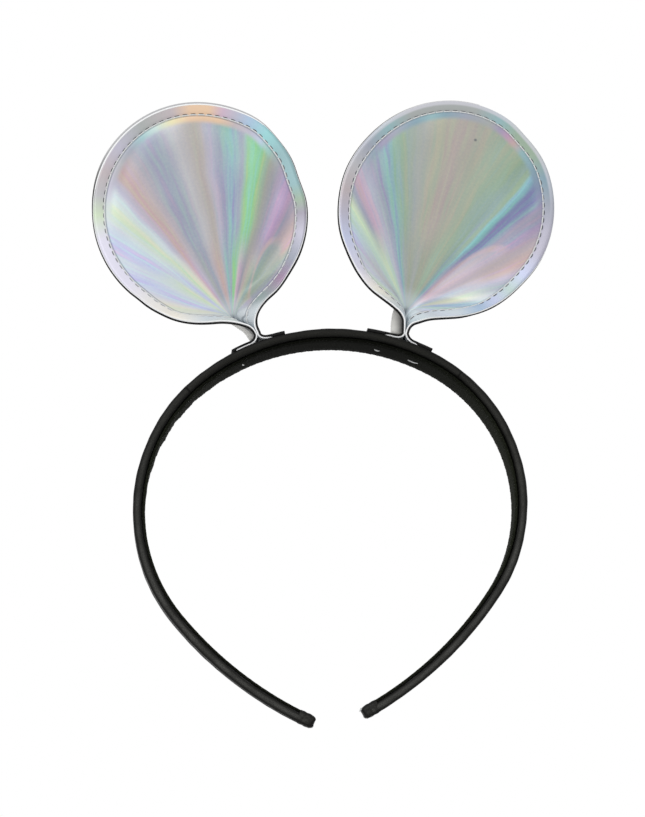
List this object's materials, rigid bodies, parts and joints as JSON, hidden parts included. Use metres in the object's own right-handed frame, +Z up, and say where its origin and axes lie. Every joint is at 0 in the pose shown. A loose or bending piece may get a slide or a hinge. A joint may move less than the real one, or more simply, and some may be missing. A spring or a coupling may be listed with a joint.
{
  "type": "animal ears headband",
  "caption": "Satin-covered spring headband with round, pinched holographic ears, topstitched and sewn to the crown on folded tabs.",
  "frame": {"origin": "on the lining's face at the middle of the crown, where the band sits on a head", "axes": "+Z up as worn, along the ears; +X to the viewer's right from the front; -Y the front, where the film faces"},
  "size_m": [0.1658, 0.017, 0.2258],
  "materials": {
    "spring_core": "matt moulded",
    "satin_cover": "satin weave with a soft grey sheen",
    "clear_glue": "dried adhesive",
    "lining_ribbon": "brushed ribbed ribbon",
    "tip_wrap": "satin, wrapped over the end",
    "holographic_film": "glossy rainbow film",
    "white_backing": "white-backed holographic film",
    "black_backing": "fine-grained black leatherette",
    "pale_thread": "twisted sewing thread"
  },
  "bodies": {
    "crown": {"band_core_crown": "spring_core", "band_cover_crown": "satin_cover", "fold_glue_crown": "clear_glue", "lining_crown": "lining_ribbon", "left_ear_front_tabs": "white_backing", "left_ear_back_tabs": "black_backing", "left_tab_glue": "clear_glue", "left_ear_tacks": "pale_thread", "right_ear_front_tabs": "white_backing", "right_ear_back_tabs": "black_backing", "right_tab_glue": "clear_glue", "right_ear_tacks": "pale_thread"},
    "left_arm": {"band_core_left": "spring_core", "band_cover_left": "satin_cover", "fold_glue_left": "clear_glue", "lining_left": "lining_ribbon", "tip_cap_left": "tip_wrap"},
    "right_arm": {"band_core_right": "spring_core", "band_cover_right": "satin_cover", "fold_glue_right": "clear_glue", "lining_right": "lining_ribbon", "tip_cap_right": "tip_wrap"},
    "left_ear": {"left_ear_front": "holographic_film", "left_ear_back": "black_backing", "left_ear_stitching": "pale_thread"},
    "right_ear": {"right_ear_front": "holographic_film", "right_ear_back": "black_backing", "right_ear_stitching": "pale_thread"}
  },
  "joints": [
    {"name": "left_ear_flop", "type": "hinge", "parent": "crown", "child": "left_ear", "pos_m": [-0.02361, 0, 0.00329], "axis": [0, -1, 0], "range_deg": [-5, 30], "stiffness_Nm_per_rad": 0.08},
    {"name": "right_ear_flop", "type": "hinge", "parent": "crown", "child": "right_ear", "pos_m": [0.03005, 0, 0.00095], "axis": [0, 1, 0], "range_deg": [-5, 30], "stiffness_Nm_per_rad": 0.08},
    {"name": "left_arm_spread", "type": "hinge", "parent": "crown", "child": "left_arm", "pos_m": [-0.05352, 0, -0.02178], "axis": [0, 1, 0], "range_deg": [0, 12], "stiffness_Nm_per_rad": 1.2},
    {"name": "right_arm_spread", "type": "hinge", "parent": "crown", "child": "right_arm", "pos_m": [0.0522, 0, -0.02078], "axis": [0, -1, 0], "range_deg": [0, 12], "stiffness_Nm_per_rad": 1.2}
  ]
}
